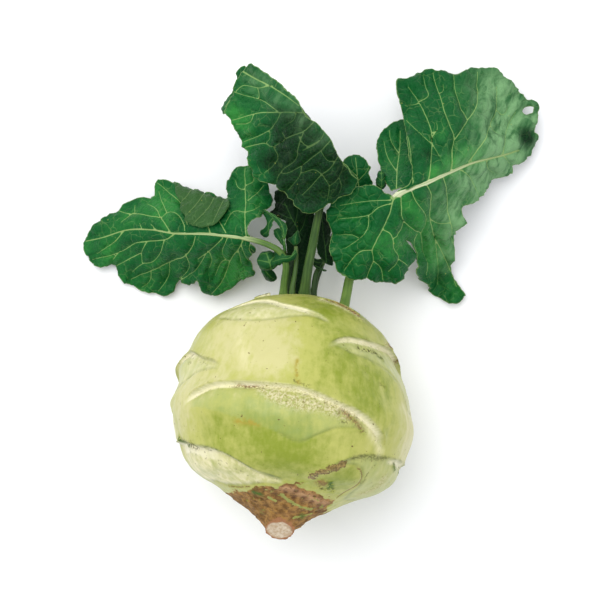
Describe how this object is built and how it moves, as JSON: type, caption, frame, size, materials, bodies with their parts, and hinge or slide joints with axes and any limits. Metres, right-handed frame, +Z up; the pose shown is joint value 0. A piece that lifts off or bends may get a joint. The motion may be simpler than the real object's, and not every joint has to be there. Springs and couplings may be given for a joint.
{
  "type": "kohlrabi",
  "caption": "Kohlrabi as picked, lying on its side: round pale green bulb with leaf scars and a corky root end, and large and small dark green leaves on stalks at its crown.",
  "frame": {"origin": "on the small flat rest spot on the bulb's underside, straight below the middle of the bulb at its widest girth", "axes": "+Z up from the surface the kohlrabi lies on; +Y towards the leaves, along the plant's length; +X towards the right-hand leaf seen from above with the leaves away from the viewer; -Z is the rest spot's outward normal"},
  "size_m": [0.198, 0.1965, 0.097],
  "materials": {
    "bulb_skin": "satin, waxy",
    "stalk": "satin",
    "leaf": "satin, waxy",
    "young_leaf": "satin"
  },
  "bodies": {
    "root": {"bulb": "bulb_skin", "cut_stub": "bulb_skin", "left_petiole": "stalk", "centre_petiole": "stalk", "right_petiole": "stalk", "small_petiole": "stalk", "inner_left_petiole": "stalk", "inner_right_petiole": "stalk", "curly_petiole": "stalk", "heart_petiole": "stalk", "left_blade": "leaf", "centre_blade": "leaf", "right_blade": "leaf", "small_blade": "leaf", "curled_leaflet": "leaf", "hanging_leaflet": "leaf", "bud_leaflet": "leaf", "inner_left_blade": "young_leaf", "inner_right_blade": "young_leaf", "curly_blade": "young_leaf", "heart_blade": "young_leaf"}
  },
  "joints": []
}
